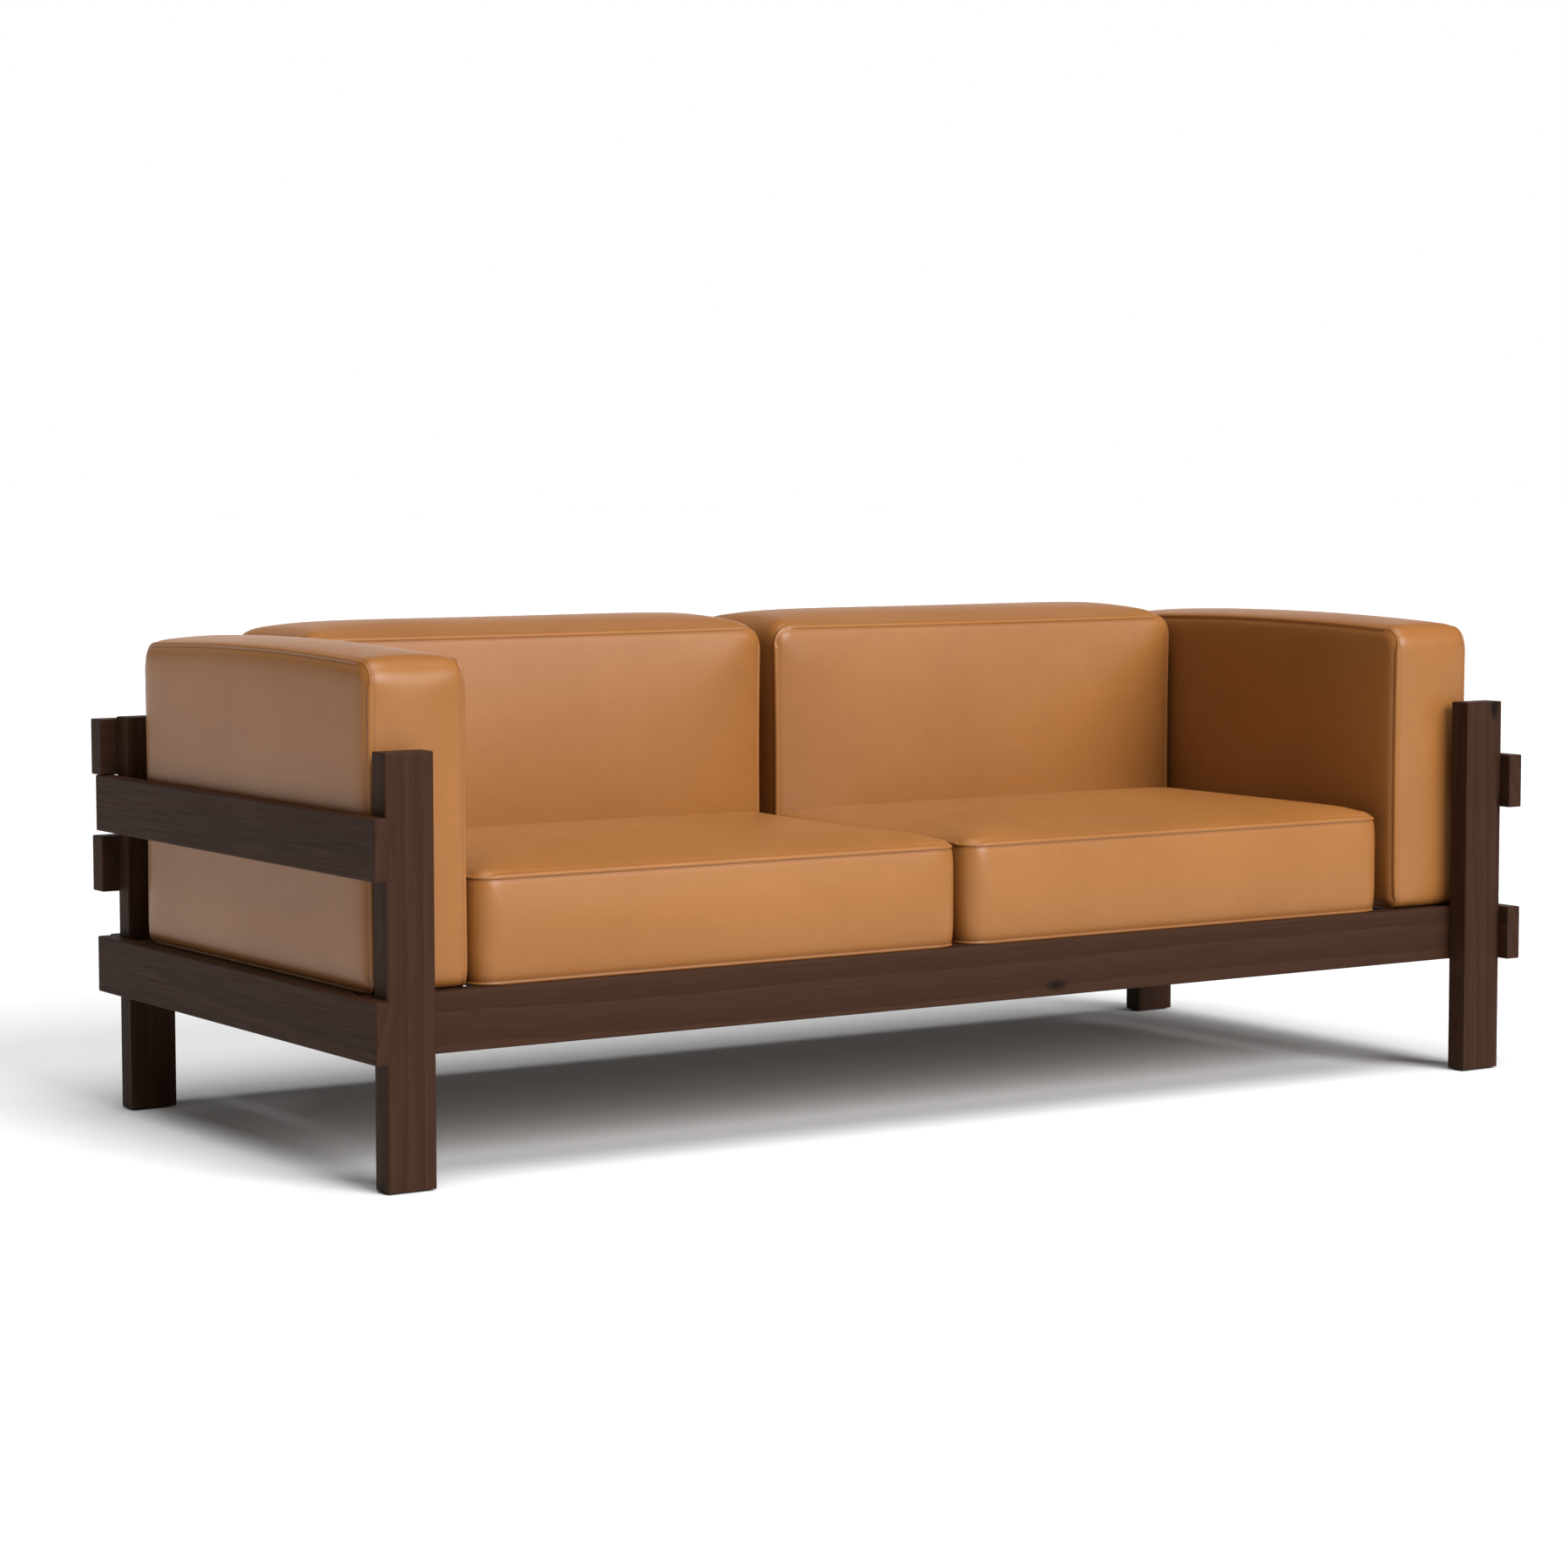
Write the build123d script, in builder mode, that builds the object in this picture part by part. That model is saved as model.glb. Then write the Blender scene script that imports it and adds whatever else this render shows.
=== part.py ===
from build123d import *
import os

# Two-seat sofa: a lapped timber frame that carries six loose box cushions.
# X runs across the sofa, -Y is the front, Z is up, and the origin is on the floor under the middle.
# All sizes are in millimetres.

# Posts
post_width = 70  # across the sofa
post_depth = 35
front_post_top = 564
back_post_top = 567
post_outer_face = 955  # from the middle of the sofa
post_span = 828  # front posts' front faces to back posts' rear faces
pad_thickness = 2
pad_inset = 5

# Rails
rail_height = 80
side_rail_thickness = 25
back_rail_thickness = 34
front_rail_thickness = 35
side_rail_front_overhang = 19
side_rail_back_overhang = 20
lower_rail_bottom = 170
upper_side_rail_bottom = 402.5
middle_back_rail_bottom = 315
top_back_rail_bottom = 483
timber_edge_radius = 2

# Deck under the cushions
slat_count = 13
slat_width = 70
slat_thickness = 18
slat_end_clearance = 2
slat_edge_radius = 2.5
ledger_width = 30
ledger_height = 30
bearer_width = 40
bearer_height = 30
bearer_end_gap = 30
deck_end_gap = 5  # slats and ledgers stop this far short of the posts

# Cushions: loose, so they stand a little unevenly between the rails
arm_width = 148
arm_length = 696
arm_height = 436
arm_centres = (-879, 859)
seat_width = 774
seat_length = 515
seat_height = 170
seat_centres = (-409, 376)
back_width = 771
back_depth = 250
back_height = 445
back_centres = (-397.5, 391.5)
cushion_setback = 49  # behind the front posts' front faces
back_cushion_gap = 6  # to the back rails
cushion_radius = 18
back_cushion_radius = 24

# Fixings
fit_gap = 0.05  # between a fixing and its hole, all round
dowel_radius = 5
dowel_length = 40
dowel_in_rail = 18
dowel_spacing = 48
glue_gap = 1  # left at each end of a dowel
bolt_radius = 4
bolt_length = 40
bolt_head_radius = 6.5
bolt_head_height = 8
bolt_socket_across_flats = 6
bolt_socket_depth = 4
bolt_spacing = 36
bolt_offsets = (18, 36)  # from the posts' inner faces: low bolt, high bolt
counterbore_radius = 10
counterbore_depth = 11
washer_radius = 8
washer_bore_radius = 4.2
washer_thickness = 1.6
insert_radius = 6
insert_length = 18
insert_hole_depth = 20
slat_screw_radius = 2
slat_screw_length = 35
slat_screw_inset = 14  # from the slat's end
frame_screw_radius = 2.5
frame_screw_length = 55
ledger_screw_steps = (-5.5, -3.5, -1.5, 1.5, 3.5, 5.5)  # in slat pitches, so between the slats
bearer_screw_spacing = 280
countersink_angle = 90
screw_tip_length = 6
screw_tip_radius = 0.4
recess_depth = 1.5
recess_width = 1
pilot_gap = 2  # pilot holes end this far past the screws' tips

# Places worked out from the sizes above
overall_width = 2 * (post_outer_face + side_rail_thickness)
overall_depth = side_rail_front_overhang + post_span + back_rail_thickness
rail_end_front = -overall_depth / 2
post_front = rail_end_front + side_rail_front_overhang
front_post_rear = post_front + post_depth
post_rear = post_front + post_span
back_post_front = post_rear - post_depth
front_rail_rear = front_post_rear + front_rail_thickness
back_rail_rear = post_rear + back_rail_thickness
side_rail_length = side_rail_front_overhang + post_span + side_rail_back_overhang
post_inner_face = post_outer_face - post_width
deck_top = lower_rail_bottom + rail_height
deck_half_width = post_inner_face - deck_end_gap
slat_bottom = deck_top - slat_thickness
slat_front = front_rail_rear + slat_end_clearance
slat_back = post_rear - slat_end_clearance
slat_pitch = (2 * deck_half_width - slat_width) / (slat_count - 1)
slat_xs = [(i - (slat_count - 1) / 2) * slat_pitch for i in range(slat_count)]
ledger_bottom = slat_bottom - ledger_height
bearer_front = front_rail_rear + bearer_end_gap
bearer_back = back_post_front - bearer_end_gap
lower_level = lower_rail_bottom + rail_height / 2
upper_side_level = upper_side_rail_bottom + rail_height / 2
middle_back_level = middle_back_rail_bottom + rail_height / 2
top_back_level = top_back_rail_bottom + rail_height / 2

left, right = -1, 1
sides = {"left": left, "right": right}

os.makedirs("parts", exist_ok=True)


def save(piece, name):
    piece.part.label = name
    export_step(piece.part, f"parts/{name}.step")


# Adds a block between two corners, with every edge eased, to the piece being made
def eased_block(low, high, radius=timber_edge_radius):
    size = [b - a for a, b in zip(low, high)]
    centre = tuple((a + b) / 2 for a, b in zip(low, high))
    with Locations(centre):
        Box(*size)
    fillet(edges(), radius)


# Fixing places. Each plane faces the way that its fixing comes out.

side_levels = {"lower": lower_level, "upper": upper_side_level}
back_levels = {"lower": lower_level, "middle": middle_back_level, "top": top_back_level}
post_middles = (post_front + post_depth / 2, post_rear - post_depth / 2)


# Dowels lie across the joint between a post and a side rail
def dowel_planes(side, middle, level):
    heights = (level - dowel_spacing / 2, level + dowel_spacing / 2)
    return [Plane(origin=(side * post_outer_face, middle, z), z_dir=(side, 0, 0)) for z in heights]


# Bolts cross the joint between a post and a long rail
def bolt_planes(side, joint_y, level):
    xs = [side * (post_inner_face + offset) for offset in bolt_offsets]
    heights = (level - bolt_spacing / 2, level + bolt_spacing / 2)
    return [Plane(origin=(x, joint_y, z), z_dir=(0, 1, 0)) for x, z in zip(xs, heights)]


# Ledger screws go through the ledgers into the rails
def ledger_screw_planes(ledger_face, facing):
    level = ledger_bottom + ledger_height / 2
    xs = [step * slat_pitch for step in ledger_screw_steps]
    return [Plane(origin=(x, ledger_face, level), z_dir=(0, facing, 0)) for x in xs]


# Bearer screws go through the side bearers into the side rails
def bearer_screw_planes(side):
    face = side * (post_outer_face - bearer_width)
    middle = (bearer_front + bearer_back) / 2
    ys = [middle + step * bearer_screw_spacing for step in (-1, 0, 1)]
    return [Plane(origin=(face, y, deck_top - bearer_height / 2), z_dir=(-side, 0, 0)) for y in ys]


front_ledger_face = front_rail_rear + ledger_width
back_ledger_face = post_rear - ledger_width
front_ledger_screws = ledger_screw_planes(front_ledger_face, 1)
back_ledger_screws = ledger_screw_planes(back_ledger_face, -1)
slat_screw_ys = (slat_front + slat_screw_inset, slat_back - slat_screw_inset)


# Drills the screws' own size on, past their tips
def pilot_holes(planes, radius, length):
    with Locations(*planes):
        Hole(radius + fit_gap, depth=length + pilot_gap)


# Posts: dowel holes in the outer face, insert holes in the rear face
def post(side, middle, top, rail_levels):
    near, far = sorted((side * post_inner_face, side * post_outer_face))
    front, back = middle - post_depth / 2, middle + post_depth / 2
    with BuildPart() as board:
        eased_block((near, front, pad_thickness), (far, back, top))
        for level in side_levels.values():
            with Locations(*dowel_planes(side, middle, level)):
                Hole(dowel_radius + fit_gap, depth=dowel_length - dowel_in_rail + glue_gap)
        for level in rail_levels:
            with Locations(*bolt_planes(side, back, level)):
                Hole(insert_radius + fit_gap, depth=insert_hole_depth)
    return board


for name, side in sides.items():
    front_middle, back_middle = post_middles
    save(post(side, front_middle, front_post_top, [lower_level]), f"front_{name}_post")
    save(post(side, back_middle, back_post_top, back_levels.values()), f"back_{name}_post")


# Felt pads stuck under the posts
def felt_pad(side, middle):
    with BuildPart() as pad:
        with BuildSketch():
            with Locations((side * (post_inner_face + post_width / 2), middle)):
                RectangleRounded(post_width - 2 * pad_inset, post_depth - 2 * pad_inset, pad_inset)
        extrude(amount=pad_thickness)
    return pad


for name, side in sides.items():
    for end, middle in zip(("front", "back"), post_middles):
        save(felt_pad(side, middle), f"{end}_{name}_felt_pad")


# Side rails: blind dowel holes and bearer screw holes in the inner face
def side_rail(side, level, screw_planes):
    near, far = sorted((side * post_outer_face, side * (post_outer_face + side_rail_thickness)))
    low = (near, rail_end_front, level - rail_height / 2)
    high = (far, rail_end_front + side_rail_length, level + rail_height / 2)
    with BuildPart() as board:
        eased_block(low, high)
        for middle in post_middles:
            joints = dowel_planes(side, middle, level)
            with Locations(*[Plane(origin=joint.origin, z_dir=-joint.z_dir) for joint in joints]):
                Hole(dowel_radius + fit_gap, depth=dowel_in_rail + glue_gap)
        if screw_planes:
            pilot_holes(screw_planes, frame_screw_radius, frame_screw_length)
    return board


for name, side in sides.items():
    save(side_rail(side, lower_level, bearer_screw_planes(side)), f"lower_{name}_side_rail")
    save(side_rail(side, upper_side_level, []), f"upper_{name}_side_rail")


# Long rails: bolted from behind, with the bolt heads sunk in counterbores
def long_rail(half_length, front, thickness, level, screw_planes):
    low = (-half_length, front, level - rail_height / 2)
    high = (half_length, front + thickness, level + rail_height / 2)
    with BuildPart() as board:
        eased_block(low, high)
        for side in sides.values():
            with Locations(*bolt_planes(side, front + thickness, level)):
                CounterBoreHole(bolt_radius + fit_gap, counterbore_radius, counterbore_depth)
        if screw_planes:
            pilot_holes(screw_planes, frame_screw_radius, frame_screw_length)
    return board


front_rail = long_rail(
    post_outer_face, front_post_rear, front_rail_thickness, lower_level, front_ledger_screws
)
lower_back_rail = long_rail(
    post_outer_face, post_rear, back_rail_thickness, lower_level, back_ledger_screws
)
middle_back_rail = long_rail(overall_width / 2, post_rear, back_rail_thickness, middle_back_level, [])
top_back_rail = long_rail(overall_width / 2, post_rear, back_rail_thickness, top_back_level, [])
save(front_rail, "front_rail")
save(lower_back_rail, "lower_back_rail")
save(middle_back_rail, "middle_back_rail")
save(top_back_rail, "top_back_rail")


# Ledgers: strips on the front rail and the lower back rail that carry the slats' ends
def ledger(front, screw_planes, slat_screw_y):
    slat_screws_at_top = [Plane(origin=(x, slat_screw_y, deck_top)) for x in slat_xs]
    with BuildPart() as strip:
        eased_block(
            (-deck_half_width, front, ledger_bottom), (deck_half_width, front + ledger_width, slat_bottom)
        )
        with Locations(*screw_planes):
            CounterSinkHole(frame_screw_radius + fit_gap, 2 * frame_screw_radius + fit_gap, None, countersink_angle)
        pilot_holes(slat_screws_at_top, slat_screw_radius, slat_screw_length)
    return strip


save(ledger(front_rail_rear, front_ledger_screws, slat_screw_ys[0]), "front_ledger")
save(ledger(back_ledger_face, back_ledger_screws, slat_screw_ys[1]), "back_ledger")


# Slats: they run from front to back, screwed down on both ledgers
def slat(x):
    low = (x - slat_width / 2, slat_front, slat_bottom)
    high = (x + slat_width / 2, slat_back, deck_top)
    with BuildPart() as board:
        eased_block(low, high, slat_edge_radius)
        with Locations(*[(x, y, deck_top) for y in slat_screw_ys]):
            CounterSinkHole(slat_screw_radius + fit_gap, 2 * slat_screw_radius + fit_gap, None, countersink_angle)
    return board


for number, x in enumerate(slat_xs, start=1):
    save(slat(x), f"slat_{number:02d}")


# Side bearers: strips on the lower side rails, under the arm cushions' outer edges
def side_bearer(side):
    near, far = sorted((side * (post_outer_face - bearer_width), side * post_outer_face))
    with BuildPart() as strip:
        eased_block((near, bearer_front, deck_top - bearer_height), (far, bearer_back, deck_top))
        with Locations(*bearer_screw_planes(side)):
            CounterSinkHole(frame_screw_radius + fit_gap, 2 * frame_screw_radius + fit_gap, None, countersink_angle)
    return strip


for name, side in sides.items():
    save(side_bearer(side), f"{name}_side_bearer")


# Cushions: plain closed solids the size of the stuffed covers
def cushion(centre_x, front, width, length, height, radius):
    low = (centre_x - width / 2, front, deck_top)
    high = (centre_x + width / 2, front + length, deck_top + height)
    with BuildPart() as block:
        eased_block(low, high, radius)
    return block


cushion_front = post_front + cushion_setback
back_cushion_front = post_rear - back_cushion_gap - back_depth
for name, x in zip(sides, arm_centres):
    arm = cushion(x, cushion_front, arm_width, arm_length, arm_height, cushion_radius)
    save(arm, f"{name}_arm_cushion")
for name, x in zip(sides, seat_centres):
    seat = cushion(x, cushion_front, seat_width, seat_length, seat_height, cushion_radius)
    save(seat, f"{name}_seat_cushion")
for name, x in zip(sides, back_centres):
    back = cushion(x, back_cushion_front, back_width, back_depth, back_height, back_cushion_radius)
    save(back, f"{name}_back_cushion")


# Fixings: each kind is one group of separate, equal pieces

from_top = (Align.CENTER, Align.CENTER, Align.MAX)
from_bottom = (Align.CENTER, Align.CENTER, Align.MIN)

dowel_places = [
    plane
    for side in sides.values()
    for middle in post_middles
    for level in side_levels.values()
    for plane in dowel_planes(side, middle, level)
]
with BuildPart() as dowels:
    with Locations(*[plane.offset(dowel_in_rail) for plane in dowel_places]):
        Cylinder(dowel_radius, dowel_length, align=from_top)
    chamfer(dowels.edges().filter_by(GeomType.CIRCLE), 1)
save(dowels, "dowels")

front_joints = [
    plane for side in sides.values() for plane in bolt_planes(side, front_post_rear, lower_level)
]
back_joints = [
    plane
    for side in sides.values()
    for level in back_levels.values()
    for plane in bolt_planes(side, post_rear, level)
]
front_seats = [plane.offset(front_rail_thickness - counterbore_depth) for plane in front_joints]
back_seats = [plane.offset(back_rail_thickness - counterbore_depth) for plane in back_joints]
washer_seats = front_seats + back_seats
head_seats = [plane.offset(washer_thickness) for plane in washer_seats]

with BuildPart() as inserts:
    with Locations(*(front_joints + back_joints)):
        Cylinder(insert_radius, insert_length, align=from_top)
        Cylinder(bolt_radius + fit_gap, insert_length, align=from_top, mode=Mode.SUBTRACT)
save(inserts, "threaded_inserts")

with BuildPart() as washers:
    with BuildSketch(*washer_seats):
        Circle(washer_radius)
        Circle(washer_bore_radius, mode=Mode.SUBTRACT)
    extrude(amount=washer_thickness)
save(washers, "rail_bolt_washers")

with BuildPart() as bolts:
    with Locations(*head_seats):
        Cylinder(bolt_head_radius, bolt_head_height, align=from_bottom)
        Cylinder(bolt_radius, bolt_length, align=from_top)
    with BuildSketch(*[plane.offset(bolt_head_height) for plane in head_seats]):
        RegularPolygon(bolt_socket_across_flats / 2, 6, major_radius=False)
    extrude(amount=-bolt_socket_depth, mode=Mode.SUBTRACT)
save(bolts, "rail_bolts")


# Countersunk screws with a cross recess
def screws(planes, radius, length):
    with BuildPart() as group:
        with Locations(*planes):
            Cone(radius, 2 * radius, radius, align=from_top)
            Cylinder(radius, length - screw_tip_length, align=from_top)
        with Locations(*[plane.offset(screw_tip_length - length) for plane in planes]):
            Cone(screw_tip_radius, radius, screw_tip_length, align=from_top)
        with Locations(*planes):
            Box(2 * radius, recess_width, recess_depth, align=from_top, mode=Mode.SUBTRACT)
            Box(recess_width, 2 * radius, recess_depth, align=from_top, mode=Mode.SUBTRACT)
    return group


slat_screw_places = [Plane(origin=(x, y, deck_top)) for x in slat_xs for y in slat_screw_ys]
bearer_screw_places = [plane for side in sides.values() for plane in bearer_screw_planes(side)]
save(screws(slat_screw_places, slat_screw_radius, slat_screw_length), "slat_screws")
save(screws(front_ledger_screws + back_ledger_screws, frame_screw_radius, frame_screw_length), "ledger_screws")
save(screws(bearer_screw_places, frame_screw_radius, frame_screw_length), "bearer_screws")
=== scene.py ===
import math

import bpy
import numpy as np
from mathutils import Matrix, Vector
from mathutils.bvhtree import BVHTree


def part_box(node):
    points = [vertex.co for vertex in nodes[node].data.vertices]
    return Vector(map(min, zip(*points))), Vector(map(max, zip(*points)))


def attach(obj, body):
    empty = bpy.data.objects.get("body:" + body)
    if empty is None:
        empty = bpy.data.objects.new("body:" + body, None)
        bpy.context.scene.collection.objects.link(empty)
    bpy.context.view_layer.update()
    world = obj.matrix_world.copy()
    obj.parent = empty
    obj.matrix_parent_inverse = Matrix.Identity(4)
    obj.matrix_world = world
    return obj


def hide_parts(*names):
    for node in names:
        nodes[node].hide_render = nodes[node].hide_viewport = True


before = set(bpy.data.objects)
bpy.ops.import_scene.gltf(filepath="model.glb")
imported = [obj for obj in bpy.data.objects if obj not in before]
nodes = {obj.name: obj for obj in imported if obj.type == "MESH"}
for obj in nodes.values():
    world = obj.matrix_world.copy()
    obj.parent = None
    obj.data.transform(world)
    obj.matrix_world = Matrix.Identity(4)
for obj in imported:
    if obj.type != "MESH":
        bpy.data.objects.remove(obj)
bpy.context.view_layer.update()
print("frame loaded:", len(nodes), "nodes")


def clearSelection():
    if bpy.context.object and bpy.context.object.mode != "OBJECT":
        bpy.ops.object.mode_set(mode="OBJECT")
    bpy.ops.object.select_all(action="DESELECT")


def pick(piece):
    clearSelection()
    piece.select_set(True)
    bpy.context.view_layer.objects.active = piece


def applyModifiers(piece):
    pick(piece)
    for modifier in list(piece.modifiers):
        bpy.ops.object.modifier_apply(modifier=modifier.name)


def readPoints(piece):
    flat = np.empty(len(piece.data.vertices) * 3)
    piece.data.vertices.foreach_get("co", flat)
    return flat.reshape(-1, 3)


def writePoints(piece, points):
    piece.data.vertices.foreach_set("co", points.reshape(-1))
    piece.data.update()


cameraView = {
    "place": (-3.239, -4.8182, 0.9249),
    "turn": -33.276,  # degrees from straight back
    "tiltDown": 4.648,
    "roll": -0.095,
    "lens": 90.2,  # on a 36 mm wide sensor
}


def addCamera():
    data = bpy.data.cameras.new("camera")
    data.lens = cameraView["lens"]
    data.sensor_width = 36
    camera = bpy.data.objects.new("camera", data)
    bpy.context.collection.objects.link(camera)
    turn = Matrix.Rotation(math.radians(cameraView["turn"]), 4, "Z")
    tilt = Matrix.Rotation(math.radians(90 - cameraView["tiltDown"]), 4, "X")
    roll = Matrix.Rotation(math.radians(cameraView["roll"]), 4, "Z")
    camera.matrix_world = Matrix.Translation(cameraView["place"]) @ turn @ tilt @ roll
    bpy.context.scene.camera = camera


addCamera()


studio = {
    "backdrop": (1.0, 1.0, 1.0, 1),
    "floorColor": (0.78, 0.78, 0.78, 1),
    "floorSize": 120,
    "glowFrom": (0.55, 0.83, 0),
    "glowSpread": (0.45, 0.95),  # starts and is full at this much towards glowFrom
    "glowHeight": (0.55, 0.15),  # ends and is full at this height of the sky
    "horizonGlow": 1.0,  # the pale wall behind the sofa, as its surfaces see it
    "roomFill": 0.06,
}

lamps = {
    "frontLight": {"from": (0.22, -1.0, 0.52), "strength": 3.7, "softness": 36},  # degrees across
    "topLight": {"from": (-0.04, -0.2, 1.0), "strength": 2.9, "softness": 50},
}


def addLamp(name, lamp):
    data = bpy.data.lights.new(name, "SUN")
    data.energy = lamp["strength"]
    data.angle = math.radians(lamp["softness"])
    piece = bpy.data.objects.new(name, data)
    bpy.context.collection.objects.link(piece)
    piece.rotation_euler = Vector(lamp["from"]).to_track_quat("Z", "Y").to_euler()


def addFloor():
    clearSelection()
    bpy.ops.mesh.primitive_plane_add(size=studio["floorSize"])
    floor = bpy.context.object
    floor.name = "floor"
    material = bpy.data.materials.new("floorPaint")
    material.use_nodes = True
    shader = material.node_tree.nodes["Principled BSDF"]
    shader.inputs["Base Color"].default_value = studio["floorColor"]
    shader.inputs["Roughness"].default_value = 1.0
    shader.inputs["Specular IOR Level"].default_value = 0.0
    floor.data.materials.append(material)


# plain white to the eye; as light, a glow low behind the sofa and a dim room elsewhere
def setWorld():
    world = bpy.data.worlds.new("softRoom")
    world.use_nodes = True
    tree = world.node_tree
    direction = tree.nodes.new("ShaderNodeTexCoord")
    split = tree.nodes.new("ShaderNodeSeparateXYZ")
    tree.links.new(direction.outputs["Generated"], split.inputs[0])
    facing = tree.nodes.new("ShaderNodeVectorMath")
    facing.operation = "DOT_PRODUCT"
    facing.inputs[1].default_value = studio["glowFrom"]
    tree.links.new(direction.outputs["Generated"], facing.inputs[0])
    behind = tree.nodes.new("ShaderNodeMapRange")
    behind.interpolation_type = "SMOOTHSTEP"
    for socket, value in zip(behind.inputs[1:5], (*studio["glowSpread"], 0, 1)):
        socket.default_value = value
    tree.links.new(facing.outputs["Value"], behind.inputs[0])
    low = tree.nodes.new("ShaderNodeMapRange")
    low.interpolation_type = "SMOOTHSTEP"
    for socket, value in zip(low.inputs[1:5], (*studio["glowHeight"], 0, 1)):
        socket.default_value = value
    tree.links.new(split.outputs["Z"], low.inputs[0])
    both = tree.nodes.new("ShaderNodeMath")
    both.operation = "MULTIPLY"
    tree.links.new(behind.outputs[0], both.inputs[0])
    tree.links.new(low.outputs[0], both.inputs[1])
    glow = tree.nodes.new("ShaderNodeMath")
    glow.operation = "MULTIPLY_ADD"
    tree.links.new(both.outputs[0], glow.inputs[0])
    glow.inputs[1].default_value = studio["horizonGlow"]
    glow.inputs[2].default_value = studio["roomFill"]
    lit = tree.nodes["Background"]
    tree.links.new(glow.outputs[0], lit.inputs["Strength"])
    seen = tree.nodes.new("ShaderNodeBackground")
    seen.inputs["Color"].default_value = studio["backdrop"]
    eye = tree.nodes.new("ShaderNodeLightPath")
    choose = tree.nodes.new("ShaderNodeMixShader")
    tree.links.new(eye.outputs["Is Camera Ray"], choose.inputs[0])
    tree.links.new(lit.outputs[0], choose.inputs[1])
    tree.links.new(seen.outputs[0], choose.inputs[2])
    tree.links.new(choose.outputs[0], tree.nodes["World Output"].inputs["Surface"])
    lit.inputs["Color"].default_value = (1, 1, 1, 1)
    bpy.context.scene.world = world
    bpy.context.scene.view_settings.view_transform = "Standard"


for name, lamp in lamps.items():
    addLamp(name, lamp)
addFloor()
setWorld()
print("studio set")


# effects that several finishes share are node groups; each finish has its own shader
def addNode(tree, kind, x, y, **settings):
    node = tree.nodes.new(kind)
    node.location = (x, y)
    for key, value in settings.items():
        setattr(node, key, value)
    return node


def newGroup(name, inputs, outputs):
    group = bpy.data.node_groups.new(name, "ShaderNodeTree")
    for title, kind, value in inputs:
        socket = group.interface.new_socket(name=title, in_out="INPUT", socket_type=kind)
        if value is not None:
            socket.default_value = value
    for title, kind in outputs:
        group.interface.new_socket(name=title, in_out="OUTPUT", socket_type=kind)
    source = addNode(group, "NodeGroupInput", -1200, 0)
    result = addNode(group, "NodeGroupOutput", 600, 0)
    return group, source, result


def newFinish(name, roughness, ior=1.5):
    material = bpy.data.materials.new(name)
    material.use_nodes = True
    shader = material.node_tree.nodes["Principled BSDF"]
    shader.inputs["Roughness"].default_value = roughness
    shader.inputs["IOR"].default_value = ior
    return material, material.node_tree, shader


def noiseAt(tree, vector, x, y, scale, detail=3, roughness=0.5, stretch=None):
    if stretch:
        mapping = addNode(tree, "ShaderNodeMapping", x - 200, y)
        mapping.inputs["Scale"].default_value = stretch
        tree.links.new(vector, mapping.inputs["Vector"])
        vector = mapping.outputs["Vector"]
    noise = addNode(tree, "ShaderNodeTexNoise", x, y)
    noise.inputs["Scale"].default_value = scale
    noise.inputs["Detail"].default_value = detail
    noise.inputs["Roughness"].default_value = roughness
    tree.links.new(vector, noise.inputs["Vector"])
    return noise.outputs["Fac"]


def remap(tree, value, x, y, fromLow, fromHigh, toLow=0.0, toHigh=1.0):
    node = addNode(tree, "ShaderNodeMapRange", x, y)
    for socket, number in zip(node.inputs[1:5], (fromLow, fromHigh, toLow, toHigh)):
        socket.default_value = number
    tree.links.new(value, node.inputs[0])
    return node.outputs[0]


def mathNode(tree, operation, x, y, *values):
    node = addNode(tree, "ShaderNodeMath", x, y, operation=operation)
    for socket, value in zip(node.inputs, values):
        if isinstance(value, (int, float)):
            socket.default_value = value
        else:
            tree.links.new(value, socket)
    return node.outputs[0]


def mixColor(tree, x, y, factor, low, high):
    node = addNode(tree, "ShaderNodeMix", x, y, data_type="RGBA")
    for socket, value in zip((node.inputs[0], node.inputs[6], node.inputs[7]), (factor, low, high)):
        if isinstance(value, (int, float, tuple)):
            socket.default_value = value
        else:
            tree.links.new(value, socket)
    return node.outputs[2]


def bumpInto(tree, shader, height, strength, distance):
    bump = addNode(tree, "ShaderNodeBump", -200, -400)
    bump.inputs["Strength"].default_value = strength
    bump.inputs["Distance"].default_value = distance
    tree.links.new(height, bump.inputs["Height"])
    tree.links.new(bump.outputs["Normal"], shader.inputs["Normal"])


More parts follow.
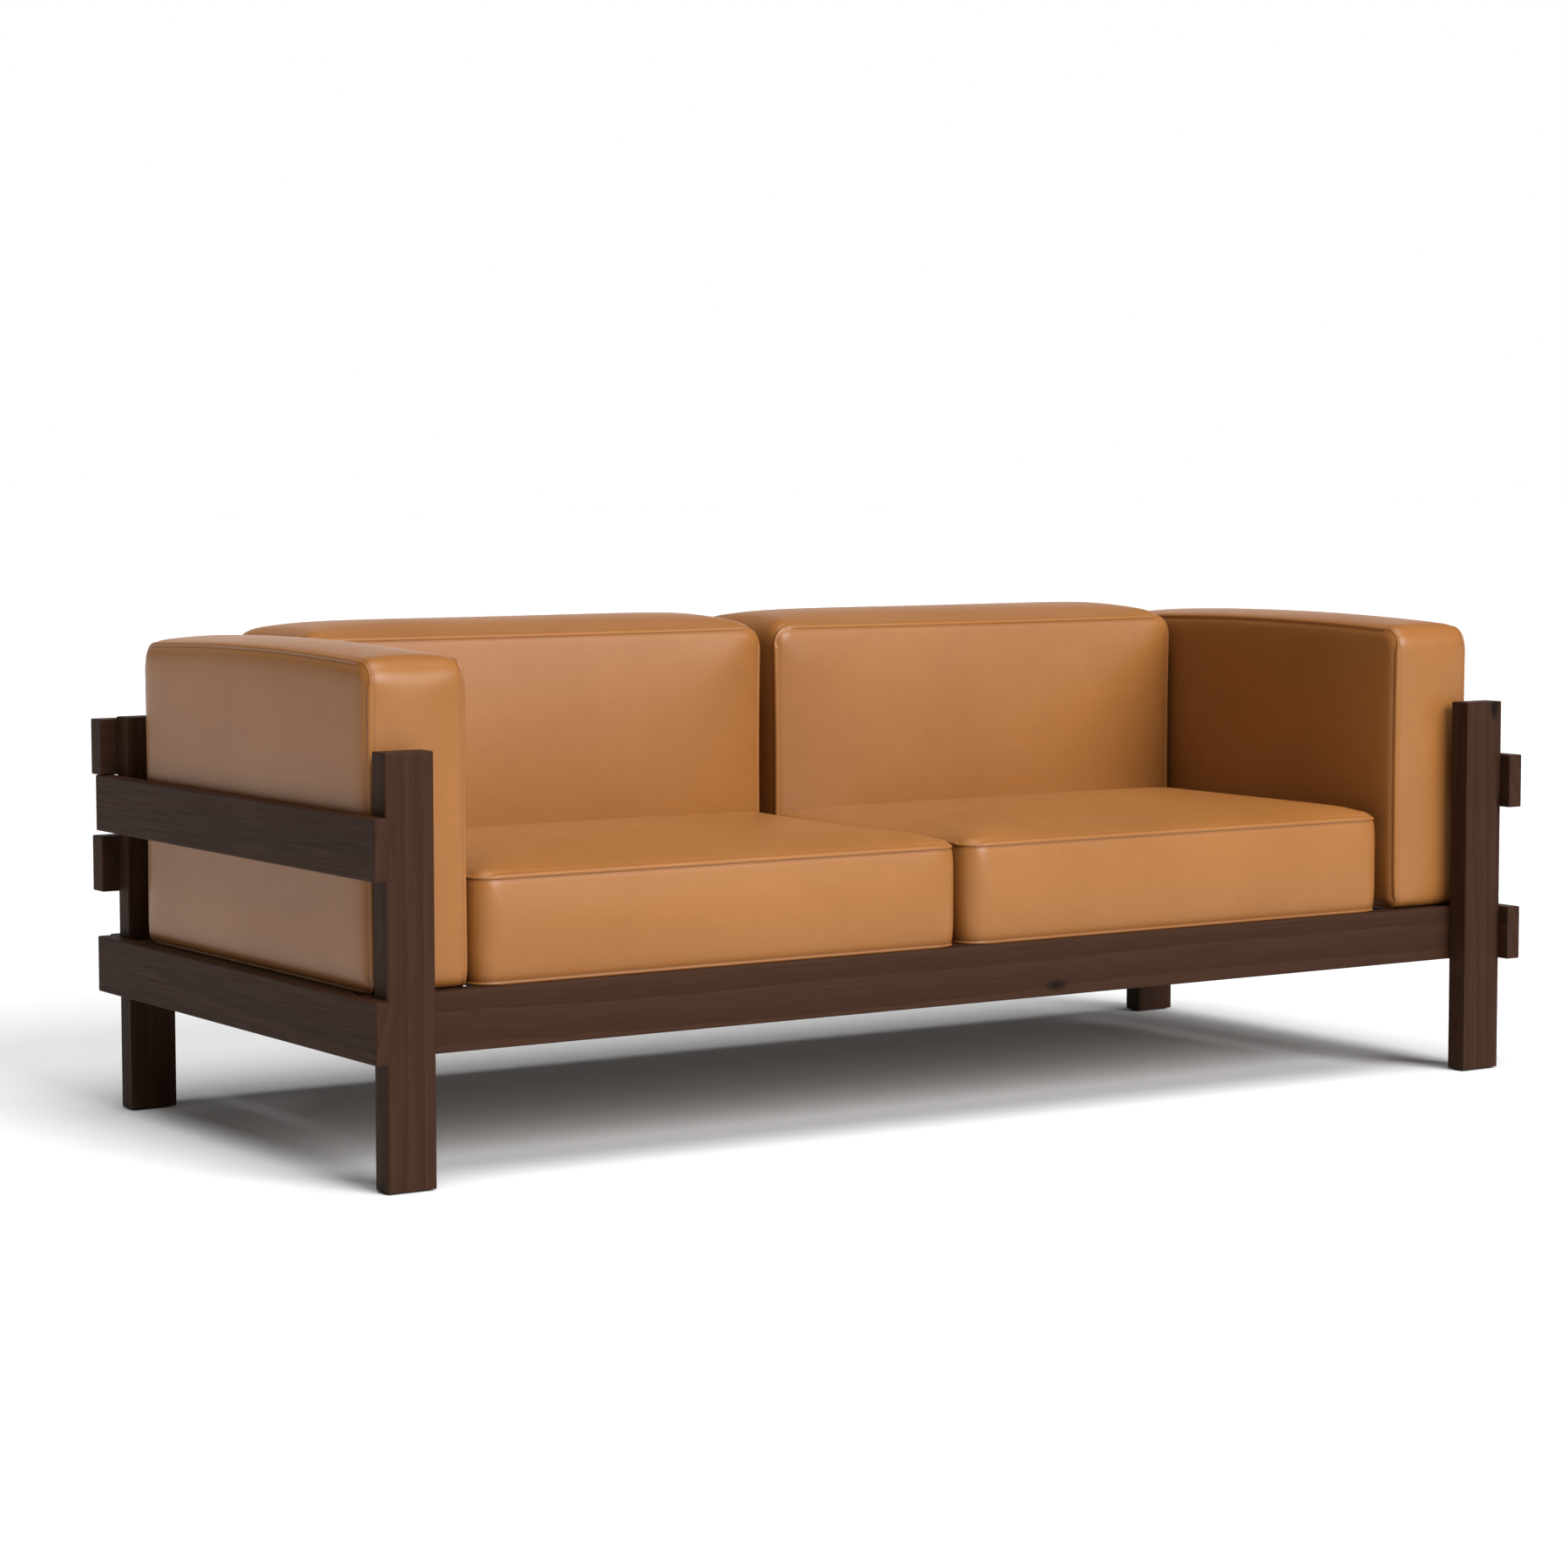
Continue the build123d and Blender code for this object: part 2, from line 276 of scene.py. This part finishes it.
# growth rings, fibres and knots; the grain runs along the vector's x
def makeTimberFigure():
    group, source, result = newGroup(
        "timberFigure",
        [("Vector", "NodeSocketVector", None), ("Ring Scale", "NodeSocketFloat", 40.0)],
        [("Rings", "NodeSocketFloat"), ("Fibres", "NodeSocketFloat"), ("Knots", "NodeSocketFloat")],
    )
    vector = source.outputs["Vector"]
    drift = noiseAt(group, vector, -800, 300, 4.0, 2, 0.45, (0.18, 1.0, 1.0))
    wander = addNode(group, "ShaderNodeVectorMath", -600, 300, operation="SCALE")
    group.links.new(drift, wander.inputs["Scale"])
    wander.inputs[0].default_value = (0.0, 0.1, 0.08)
    moved = addNode(group, "ShaderNodeVectorMath", -400, 300, operation="ADD")
    group.links.new(vector, moved.inputs[0])
    group.links.new(wander.outputs[0], moved.inputs[1])
    wave = addNode(group, "ShaderNodeTexWave", -200, 300, wave_type="RINGS", rings_direction="X")
    wave.wave_profile = "SAW"
    wave.inputs["Distortion"].default_value = 0.6
    wave.inputs["Detail"].default_value = 2
    wave.inputs["Detail Scale"].default_value = 1.5
    group.links.new(source.outputs["Ring Scale"], wave.inputs["Scale"])
    group.links.new(moved.outputs[0], wave.inputs["Vector"])
    group.links.new(wave.outputs["Fac"], result.inputs["Rings"])
    fibres = noiseAt(group, vector, -400, 0, 1.0, 5, 0.62, (6.0, 300.0, 300.0))
    group.links.new(remap(group, fibres, 0, 0, 0.3, 0.75), result.inputs["Fibres"])
    squeeze = addNode(group, "ShaderNodeMapping", -600, -300)
    squeeze.inputs["Scale"].default_value = (0.42, 1.0, 1.0)
    group.links.new(vector, squeeze.inputs["Vector"])
    cells = addNode(group, "ShaderNodeTexVoronoi", -400, -300)
    cells.inputs["Scale"].default_value = 9.0
    group.links.new(squeeze.outputs["Vector"], cells.inputs["Vector"])
    knots = remap(group, cells.outputs["Distance"], -100, -300, 0.045, 0.10, 1.0, 0.0)
    group.links.new(knots, result.inputs["Knots"])
    return group


# hide tone, pebble and pores at their real size
def makeHideGrain():
    group, source, result = newGroup(
        "hideGrain",
        [("Vector", "NodeSocketVector", None)],
        [("Tone", "NodeSocketFloat"), ("Height", "NodeSocketFloat")],
    )
    vector = source.outputs["Vector"]
    broad = noiseAt(group, vector, -600, 300, 4.0, 4, 0.5)
    close = noiseAt(group, vector, -600, 100, 38.0, 3, 0.6)
    tone = mathNode(group, "MULTIPLY_ADD", -300, 300, close, 0.35, 0.0)
    group.links.new(mathNode(group, "ADD", -100, 300, broad, tone), result.inputs["Tone"])
    pebble = addNode(group, "ShaderNodeTexVoronoi", -600, -200, feature="SMOOTH_F1")
    pebble.inputs["Scale"].default_value = 620.0
    pebble.inputs["Smoothness"].default_value = 0.6
    group.links.new(vector, pebble.inputs["Vector"])
    pores = noiseAt(group, vector, -600, -400, 1500.0, 2, 0.5)
    folds = noiseAt(group, vector, -600, -600, 90.0, 4, 0.6)
    rough = mathNode(group, "MULTIPLY_ADD", -300, -300, pores, 0.35, pebble.outputs["Distance"])
    total = mathNode(group, "MULTIPLY_ADD", -100, -300, folds, 0.8, rough)
    group.links.new(total, result.inputs["Height"])
    return group


timberFigure = makeTimberFigure()
hideGrain = makeHideGrain()

# the grain turns so that it runs along x, y or z
grainTurns = {"x": (0, 0, 0), "y": (0, 0, -90), "z": (0, 90, 0)}

timbers = {
    "walnut": {
        "dark": (0.032, 0.0132, 0.0068, 1),
        "light": (0.044, 0.0185, 0.0096, 1),
        "fibre": (0.019, 0.0078, 0.0041, 1),
        "knot": (0.006, 0.003, 0.002, 1),
        "roughness": 0.55,
        "ringScale": 14.0,
    },
    "stainedPine": {
        "dark": (0.022, 0.0095, 0.0052, 1),
        "light": (0.040, 0.0175, 0.0092, 1),
        "fibre": (0.014, 0.006, 0.0034, 1),
        "knot": (0.005, 0.0025, 0.0018, 1),
        "roughness": 0.7,
        "ringScale": 22.0,
    },
    "beech": {
        "dark": (0.52, 0.33, 0.19, 1),
        "light": (0.62, 0.43, 0.27, 1),
        "fibre": (0.38, 0.22, 0.12, 1),
        "knot": (0.3, 0.16, 0.08, 1),
        "roughness": 0.6,
        "ringScale": 60.0,
    },
}
lacquerGloss = 0.08  # low, because the stain is nearly matt


def makeTimber(name, grain):
    timber = timbers[name]
    roughness = timber["roughness"]
    material, tree, shader = newFinish(f"{name}Along{grain.upper()}", roughness)
    place = addNode(tree, "ShaderNodeTexCoord", -1200, 0)
    turn = addNode(tree, "ShaderNodeMapping", -1000, 0)
    turn.inputs["Rotation"].default_value = [math.radians(angle) for angle in grainTurns[grain]]
    tree.links.new(place.outputs["Object"], turn.inputs["Vector"])
    figure = addNode(tree, "ShaderNodeGroup", -800, 0, node_tree=timberFigure)
    figure.inputs["Ring Scale"].default_value = timber["ringScale"]
    tree.links.new(turn.outputs["Vector"], figure.inputs["Vector"])
    color = mixColor(tree, -500, 200, figure.outputs["Rings"], timber["dark"], timber["light"])
    fibreShare = mathNode(tree, "MULTIPLY", -500, 0, figure.outputs["Fibres"], 0.55)
    color = mixColor(tree, -300, 200, fibreShare, color, timber["fibre"])
    color = mixColor(tree, -100, 200, figure.outputs["Knots"], color, timber["knot"])
    tree.links.new(color, shader.inputs["Base Color"])
    shader.inputs["Specular IOR Level"].default_value = lacquerGloss
    gloss = remap(
        tree, figure.outputs["Fibres"], -300, -150, 0, 1, roughness - 0.05, roughness + 0.12
    )
    tree.links.new(gloss, shader.inputs["Roughness"])
    height = mathNode(tree, "MULTIPLY", -400, -400, figure.outputs["Fibres"], -1.0)
    bumpInto(tree, shader, height, 0.35, 0.0003)
    return material


leather = {
    "deep": (0.252, 0.096, 0.022, 1),
    "pale": (0.292, 0.117, 0.030, 1),
    # groove: the colour of the painted shade along the seam grooves
    "groove": (0.085, 0.028, 0.008, 1),
    "roughness": 0.37,
    "gloss": 0.38,
    "grainDepth": 0.0003,
}


def makeLeather():
    material, tree, shader = newFinish("tanLeather", leather["roughness"], 1.46)
    shader.inputs["Specular IOR Level"].default_value = leather["gloss"]
    place = addNode(tree, "ShaderNodeTexCoord", -1200, 0)
    grain = addNode(tree, "ShaderNodeGroup", -1000, 0, node_tree=hideGrain)
    tree.links.new(place.outputs["Object"], grain.inputs["Vector"])
    tone = remap(tree, grain.outputs["Tone"], -800, 200, 0.45, 0.95)
    color = mixColor(tree, -600, 200, tone, leather["deep"], leather["pale"])
    # painted shade: the leather is darkened towards the groove colour along each seam band's sunk
    # outline, as shade in the grooves
    groove = addNode(tree, "ShaderNodeAttribute", -1000, 400, attribute_name="grooveShade")
    sharp = mathNode(tree, "POWER", -800, 400, groove.outputs["Fac"], 3.0)
    paintedGrooveShade = mathNode(tree, "MULTIPLY", -600, 400, sharp, 0.8)
    color = mixColor(tree, -400, 200, paintedGrooveShade, color, leather["groove"])
    tree.links.new(color, shader.inputs["Base Color"])
    duller, glossier = leather["roughness"] + 0.02, leather["roughness"] - 0.02
    gloss = remap(tree, grain.outputs["Tone"], -600, -100, 0.4, 1.0, duller, glossier)
    tree.links.new(gloss, shader.inputs["Roughness"])
    bumpInto(tree, shader, grain.outputs["Height"], 0.06, leather["grainDepth"])
    return material


waxedThread = {
    "dark": (0.13, 0.045, 0.013, 1),
    "light": (0.20, 0.072, 0.022, 1),
    "roughness": 0.6,
    "gloss": 0.2,
}


def makeThread():
    material, tree, shader = newFinish("waxedThread", waxedThread["roughness"])
    shader.inputs["Specular IOR Level"].default_value = waxedThread["gloss"]
    place = addNode(tree, "ShaderNodeTexCoord", -800, 0)
    ply = noiseAt(tree, place.outputs["Object"], -500, 0, 2600.0, 2)
    color = mixColor(tree, -250, 0, ply, waxedThread["dark"], waxedThread["light"])
    tree.links.new(color, shader.inputs["Base Color"])
    return material


pressedFelt = {
    "dark": (0.02, 0.015, 0.012, 1),
    "light": (0.07, 0.055, 0.045, 1),
    "roughness": 0.95,
}


def makeFelt():
    material, tree, shader = newFinish("pressedFelt", pressedFelt["roughness"])
    place = addNode(tree, "ShaderNodeTexCoord", -800, 0)
    fuzz = noiseAt(tree, place.outputs["Object"], -500, 0, 1400.0, 5, 0.7)
    color = mixColor(tree, -250, 0, fuzz, pressedFelt["dark"], pressedFelt["light"])
    tree.links.new(color, shader.inputs["Base Color"])
    bumpInto(tree, shader, fuzz, 0.6, 0.0006)
    return material


metals = {
    # name: dark, light, roughness
    "blackSteel": ((0.02, 0.02, 0.022, 1), (0.05, 0.05, 0.052, 1), 0.42),
    "zincSteel": ((0.5, 0.49, 0.46, 1), (0.7, 0.69, 0.66, 1), 0.32),
    "yellowZinc": ((0.55, 0.42, 0.2, 1), (0.75, 0.62, 0.36, 1), 0.3),
}


def makeMetal(name):
    dark, light, roughness = metals[name]
    material, tree, shader = newFinish(name, roughness)
    shader.inputs["Metallic"].default_value = 1.0
    place = addNode(tree, "ShaderNodeTexCoord", -800, 0)
    plating = noiseAt(tree, place.outputs["Object"], -500, 0, 300.0, 4, 0.65)
    tree.links.new(mixColor(tree, -250, 0, plating, dark, light), shader.inputs["Base Color"])
    gloss = remap(tree, plating, -250, -200, 0.3, 0.7, roughness - 0.06, roughness + 0.1)
    tree.links.new(gloss, shader.inputs["Roughness"])
    bumpInto(tree, shader, plating, 0.15, 0.0001)
    return material


def paint(node, material):
    for materialSlot in nodes[node].material_slots:
        materialSlot.material = material


walnut = {grain: makeTimber("walnut", grain) for grain in grainTurns}
stainedPine = {grain: makeTimber("stainedPine", grain) for grain in ("x", "y")}
tanLeather = makeLeather()
thread = makeThread()
felt = makeFelt()
fixingFinishes = {
    "dowels": makeTimber("beech", "x"),
    "threaded_inserts": makeMetal("zincSteel"),
    "rail_bolts": makeMetal("blackSteel"),
    "slat_screws": makeMetal("yellowZinc"),
}
fixingFinishes["rail_bolt_washers"] = fixingFinishes["rail_bolts"]
fixingFinishes["ledger_screws"] = fixingFinishes["slat_screws"]
fixingFinishes["bearer_screws"] = fixingFinishes["slat_screws"]

for node in nodes:
    if node in fixingFinishes:
        paint(node, fixingFinishes[node])
    elif node.endswith("_post"):
        paint(node, walnut["z"])
    elif node.endswith("_side_rail"):
        paint(node, walnut["y"])
    elif node.endswith("_rail"):
        paint(node, walnut["x"])
    elif node.endswith("_ledger"):
        paint(node, stainedPine["x"])
    elif node.startswith("slat_") or node.endswith("_bearer"):
        paint(node, stainedPine["y"])
    elif node.endswith("_felt_pad"):
        paint(node, felt)
print("finishes made")


# a cushion is a sewn cage, stuffed by a pressure simulation
sewing = {
    "cornerSteps": 4,
    "bandHalf": 0.0034,  # half the width of the raised seam band
    "rowSteps": (0.0034, 0.0072, 0.0135),  # rows of mesh beside each seam
    "innerMargin": 0.036,
    "gussetMargin": 0.026,
    "pitch": 0.0165,  # mesh spacing
    "bandWall": 0.0007,
    "bandSink": 0.0012,
    "bandRise": 0.0026,
}
touching = 1e-5  # metres apart that count as the same place

stuffing = {
    "frames": 20,
    "quality": 6,
    "pressure": 4.0,
    "stretch": 18.0,
    "shear": 6.0,
    "bending": 1.2,
    "mass": 0.35,
}

# trim: how far the seams lie inside the CAD solid, low and high side of x, y, z
# roll: how far a face rises just past its seam, within rollWidth
# crown: how much further the stuffing pushes the face's middle out
# drawIn: how far the seams pull in between the corners, below zero where they arch out
# these three are for the faces that look to -x, +x, -y, +y, -z, +z
# corner and footCorner: how round the panels' upper and lower corners are
cushionKinds = {
    "arm": {
        "panelAxis": 0,
        "corner": 0.026,
        "footCorner": 0.016,
        "trim": ((0.006, 0.006), (0.004, 0.004), (0, 0.012)),
        "roll": (0.0075, 0.009, 0.003, 0.003, 0, 0.006),
        "crown": (0.0004, 0.0006, 0.004, 0.004, 0, 0.004),
        "drawIn": (0, 0, 0.002, 0.003, 0, -0.009),
        "rollWidth": 0.02,
        "fill": 0.85,
    },
    "seat": {
        "panelAxis": 2,
        "corner": 0.03,
        "footCorner": 0.03,
        "trim": ((0.0005, 0.0005), (0.004, 0.002), (0, 0.028)),
        "roll": (0.0025, 0.0025, 0.004, 0.001, 0, 0.015),
        "crown": (0.001, 0.001, 0.004, 0.001, 0, 0.021),
        "drawIn": (0.003, 0.003, 0.002, 0.003, 0, 0),
        "rollWidth": 0.034,
        "fill": 0.85,
    },
    "back": {
        "panelAxis": 1,
        "corner": 0.028,
        "footCorner": 0.016,
        "trim": ((0.004, 0.004), (0.008, 0.004), (0, 0.015)),
        "roll": (0.003, 0.003, 0.009, 0.001, 0, 0.011),
        "crown": (0.002, 0.002, 0.016, 0.001, 0, 0.012),
        "drawIn": (0.003, 0.003, 0, 0, 0, 0.001),
        "rollWidth": 0.03,
        "fill": 0.85,
    },
}


def selectIn(piece, mode, chosen):
    mesh = piece.data
    for parts in (mesh.vertices, mesh.edges, mesh.polygons):
        parts.foreach_set("select", np.zeros(len(parts), bool))
    parts = mesh.edges if mode == "EDGE" else mesh.polygons
    parts.foreach_set("select", np.array([chosen(part) for part in parts], bool))
    bpy.context.tool_settings.mesh_select_mode = (False, mode == "EDGE", mode == "FACE")
    bpy.ops.object.mode_set(mode="EDIT")


def cutAcross(axis, places):
    normal = [0, 0, 0]
    normal[axis] = 1
    for place in places:
        bpy.ops.mesh.select_all(action="SELECT")
        bpy.ops.mesh.bisect(plane_co=[place * n for n in normal], plane_no=normal)


def evenPlaces(low, high, margin):
    span = high - low - 2 * margin
    count = max(1, round(span / sewing["pitch"]))
    return [low + margin + span * i / count for i in range(count + 1)]


def cushionCage(name, low, high, kind):
    clearSelection()
    axis = kind["panelAxis"]
    bpy.ops.mesh.primitive_cube_add(size=1, location=(low + high) / 2, scale=high - low)
    bpy.ops.object.transform_apply(location=True, rotation=True, scale=True)
    cage = bpy.context.object
    cage.name = name
    middle = (low.z + high.z) / 2
    for radius, atFoot in ((kind["corner"], False), (kind["footCorner"], True)):
        if not (atFoot and axis == 2):
            ends = [vertex.co.copy() for vertex in cage.data.vertices]

            def isCorner(edge):
                a, b = (ends[i] for i in edge.vertices)
                return abs(a[axis] - b[axis]) > 0.01 and (max(a.z, b.z) < middle) == atFoot

            selectIn(cage, "EDGE", isCorner)
            bpy.ops.mesh.bevel(offset=radius, segments=sewing["cornerSteps"], affect="EDGES")
            bpy.ops.object.mode_set(mode="OBJECT")
    selectIn(cage, "FACE", lambda face: abs(face.normal[axis]) > 0.9)
    done = 0
    for step in sewing["rowSteps"]:
        bpy.ops.mesh.inset(thickness=step - done)
        done = step
    for other in range(3):
        if other == axis:
            rows = [low[axis] + step for step in sewing["rowSteps"]]
            rows += [high[axis] - step for step in sewing["rowSteps"]]
            cutAcross(axis, rows + evenPlaces(low[axis], high[axis], sewing["gussetMargin"]))
        else:
            cutAcross(other, evenPlaces(low[other], high[other], sewing["innerMargin"]))
    bpy.ops.object.mode_set(mode="OBJECT")
    return cage


# distance to the panel's outline, and the way out of it, in the plane of the panel
def outlineField(flat, half, kind):
    corner = np.where(flat[:, 1] < 0, kind["footCorner"], kind["corner"])
    reach = np.abs(flat) - (half - corner[:, None])
    outside = np.maximum(reach, 0)
    length = np.linalg.norm(outside, axis=1)
    inside = np.minimum(reach.max(axis=1), 0)
    depth = corner - length - inside
    rounded = outside / np.maximum(length, 1e-9)[:, None] * np.sign(flat)
    return np.maximum(depth, 0), rounded


def seamsDrawnIn(local, half, kind):
    plane = [a for a in range(3) if a != kind["panelAxis"]]
    moved = np.zeros_like(local)
    for a, b in (plane, plane[::-1]):
        depth = np.where(local[:, a] > 0, kind["drawIn"][2 * a + 1], kind["drawIn"][2 * a])
        moved[:, a] = local[:, a] / half[a] * depth * (1 - (local[:, b] / half[b]) ** 2)
    return moved


def shapeCushion(cage, low, high, kind):
    axis = kind["panelAxis"]
    plane = [a for a in range(3) if a != axis]
    centre = np.array((low + high) / 2)
    half = np.array((high - low) / 2)
    points = readPoints(cage)
    local = points - centre
    depth, rounded = outlineField(local[:, plane], half[plane], kind)
    fromSeam = half[axis] - np.abs(local[:, axis])
    onPanel = fromSeam < touching
    wayOut = np.zeros_like(points)
    wayOut[:, plane] = rounded
    wayOut[onPanel] = 0
    wayOut[onPanel, axis] = np.sign(local[onPanel, axis])
    seamDistance = np.where(onPanel, depth, fromSeam)
    facing = [wayOut[:, i // 2] * (1 if i % 2 else -1) for i in range(6)]
    side = np.stack([share.clip(0) ** 2 for share in facing], axis=1)
    rise = np.sin(np.pi / 2 * np.minimum(seamDistance / kind["rollWidth"], 1))
    points = points + wayOut * (side @ np.array(kind["roll"]) * rise)[:, None]
    points -= seamsDrawnIn(local, half, kind)
    points[:, 2] = np.maximum(points[:, 2], low.z)
    writePoints(cage, points)
    return seamDistance, side


def stuffCushion(piece, held):
    group = piece.vertex_groups.new(name="held")
    group.add([int(i) for i in np.flatnonzero(held)], 1.0, "REPLACE")
    pick(piece)
    bpy.ops.object.modifier_add(type="CLOTH")
    cloth = piece.modifiers[-1]
    cloth.settings.quality = stuffing["quality"]
    cloth.settings.mass = stuffing["mass"]
    cloth.settings.tension_stiffness = stuffing["stretch"]
    cloth.settings.compression_stiffness = stuffing["stretch"]
    cloth.settings.shear_stiffness = stuffing["shear"]
    cloth.settings.bending_stiffness = stuffing["bending"]
    cloth.settings.use_pressure = True
    cloth.settings.uniform_pressure_force = stuffing["pressure"]
    cloth.settings.effector_weights.gravity = 0
    cloth.settings.vertex_group_mass = group.name
    cloth.point_cache.frame_end = stuffing["frames"]
    for number in range(1, stuffing["frames"] + 1):
        bpy.context.scene.frame_set(number)
    bpy.ops.object.modifier_apply(modifier=cloth.name)
    bpy.context.scene.frame_set(1)


def raiseSeamBands(piece, onBand, onEdge):
    selectIn(piece, "FACE", lambda face: all(onBand[i] for i in face.vertices))
    bpy.ops.transform.shrink_fatten(value=-sewing["bandSink"])
    bpy.ops.mesh.inset(thickness=sewing["bandWall"])
    bpy.ops.transform.shrink_fatten(value=sewing["bandRise"])
    bpy.ops.object.mode_set(mode="OBJECT")
    mesh = piece.data
    # grooveShade marks each band's sunk outline, where the leather gets painted shade
    shade = np.zeros(len(mesh.vertices))
    shade[np.flatnonzero(onEdge)] = 1  # the band's old outline stays sunk beside it
    shade[[i for face in mesh.polygons if face.select for i in face.vertices]] = 0
    mesh.attributes.new("grooveShade", "FLOAT", "POINT").data.foreach_set("value", shade)


def makeCushion(name, node, kind):
    boxLow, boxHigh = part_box(node)
    low = boxLow + Vector([kind["trim"][i][0] for i in range(3)])
    high = boxHigh - Vector([kind["trim"][i][1] for i in range(3)])
    cushion = cushionCage(name, low, high, kind)
    seamDistance, side = shapeCushion(cushion, low, high, kind)
    onBand = seamDistance < sewing["bandHalf"] + touching
    start = readPoints(cushion)
    held = onBand | (start[:, 2] < low.z + 1e-4)
    stuffCushion(cushion, held)
    pushed = readPoints(cushion) - start
    share = np.zeros(len(start))
    for i in range(6):
        way = np.zeros(3)
        way[i // 2] = 1 if i % 2 else -1
        swell = (pushed @ way)[side[:, i] > 0.9]
        if len(swell) and swell.max() > touching:
            share += side[:, i] * kind["crown"][i] / swell.max()
            print("  ", name, "face", i, "swell", round(float(swell.max()), 4))
    shaped = start + pushed * share[:, None]
    shaped[:, 2] = np.maximum(shaped[:, 2], low.z)
    writePoints(cushion, shaped)
    raiseSeamBands(cushion, onBand, onBand & (seamDistance > sewing["bandHalf"] / 2))
    cushion.data.materials.clear()
    cushion.data.materials.append(tanLeather)
    cushion.modifiers.new("smooth", "SUBSURF").levels = 1
    cushion.modifiers["smooth"].render_levels = 1
    applyModifiers(cushion)
    bpy.ops.object.shade_smooth()
    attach(cushion, node)
    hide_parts(node)
    print("sewn:", name, len(cushion.data.polygons), "faces")
    return cushion, low, high


stitching = {
    "spacing": 0.0055,
    "fromSeam": 0.0068,  # one row on each side of the seam band
    "length": 0.0038,
    "thickness": 0.0009,
    "sink": 0.0001,
}


def oneStitch():
    clearSelection()
    bpy.ops.mesh.primitive_uv_sphere_add(
        segments=6, ring_count=4, radius=stitching["thickness"] / 2
    )
    stitch = bpy.context.object
    bpy.ops.object.mode_set(mode="EDIT")
    bpy.ops.mesh.select_all(action="SELECT")
    bpy.ops.transform.rotate(value=math.pi / 2, orient_axis="Y", center_override=(0, 0, 0))
    bpy.ops.transform.resize(value=(stitching["length"] / stitching["thickness"], 1, 0.8))
    bpy.ops.object.mode_set(mode="OBJECT")
    points = readPoints(stitch)
    faces = [list(face.vertices) for face in stitch.data.polygons]
    bpy.data.objects.remove(stitch)
    return points, faces


# evenly spaced places round a rectangle, with the radius at the end of each of its sides
def roundOutline(half, radii):
    straights = [2 * half[side % 2] - radii[side - 1] - radii[side] for side in range(4)]
    bends = [radius * math.pi / 2 for radius in radii]
    total = sum(straights) + sum(bends)
    count = round(total / stitching["spacing"])
    places = []
    for i in range(count):
        run = i * total / count
        for side in range(4):
            turn = side * math.pi / 2
            ahead = np.array((math.cos(turn), math.sin(turn)))
            out = np.array((ahead[1], -ahead[0]))
            reach, end = half[1 - side % 2], half[side % 2]
            if run < straights[side]:
                places.append(out * reach + ahead * (radii[side - 1] - end + run))
                break
            run -= straights[side]
            if run < bends[side]:
                angle = run / radii[side]
                centre = out * (reach - radii[side]) + ahead * (end - radii[side])
                swing = out * math.cos(angle) + ahead * math.sin(angle)
                places.append(centre + radii[side] * swing)
                break
            run -= bends[side]
    return np.array(places)


def sewSeams(name, node, cushion, low, high, kind):
    axis = kind["panelAxis"]
    plane = [a for a in range(3) if a != axis]
    centre = np.array((low + high) / 2)
    half = np.array((high - low) / 2)
    away = stitching["fromSeam"]
    hide = cushion.data
    surface = BVHTree.FromPolygons(
        [vertex.co for vertex in hide.vertices], [list(face.vertices) for face in hide.polygons]
    )
    template, templateFaces = oneStitch()
    points, faces = [], []
    for end in (-1, 1):
        for inPanel in (away, 0):
            corners = ("footCorner", "corner", "corner", "footCorner")
            radii = [kind[corner] - inPanel for corner in corners]
            flat = roundOutline(half[plane] - inPanel, radii)
            row = np.empty((len(flat), 3))
            row[:, plane] = flat
            row[:, axis] = end * (half[axis] - (0 if inPanel else away))
            row += centre - seamsDrawnIn(row, half, kind)
            onHide, normals = zip(*(surface.find_nearest(Vector(place))[:2] for place in row))
            onHide, normals = np.array(onHide), np.array(normals)
            ahead = np.roll(onHide, -1, axis=0) - np.roll(onHide, 1, axis=0)
            ahead /= np.linalg.norm(ahead, axis=1)[:, None]
            across = np.cross(normals, ahead)
            across /= np.linalg.norm(across, axis=1)[:, None]
            up = np.cross(ahead, across)
            seen = normals[:, 2] > -0.6  # none where the cushion rests
            for i in np.flatnonzero(seen):
                turned = template @ np.array((ahead[i], across[i], up[i]))
                first = len(points) * len(template)
                faces += [[first + corner for corner in face] for face in templateFaces]
                points.append(turned + onHide[i] - up[i] * stitching["sink"])
    mesh = bpy.data.meshes.new(name)
    mesh.from_pydata(np.concatenate(points).tolist(), [], faces)
    stitches = bpy.data.objects.new(name, mesh)
    bpy.context.collection.objects.link(stitches)
    mesh.materials.append(thread)
    pick(stitches)
    bpy.ops.object.shade_smooth()
    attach(stitches, node)
    print("stitched:", name, len(points), "stitches")


for side in ("left", "right"):
    for kindName, kind in cushionKinds.items():
        node = f"{side}_{kindName}_cushion"
        name = side + kindName.capitalize()
        cushion, low, high = makeCushion(name + "Cushion", node, kind)
        sewSeams(name + "Stitches", node, cushion, low, high, kind)
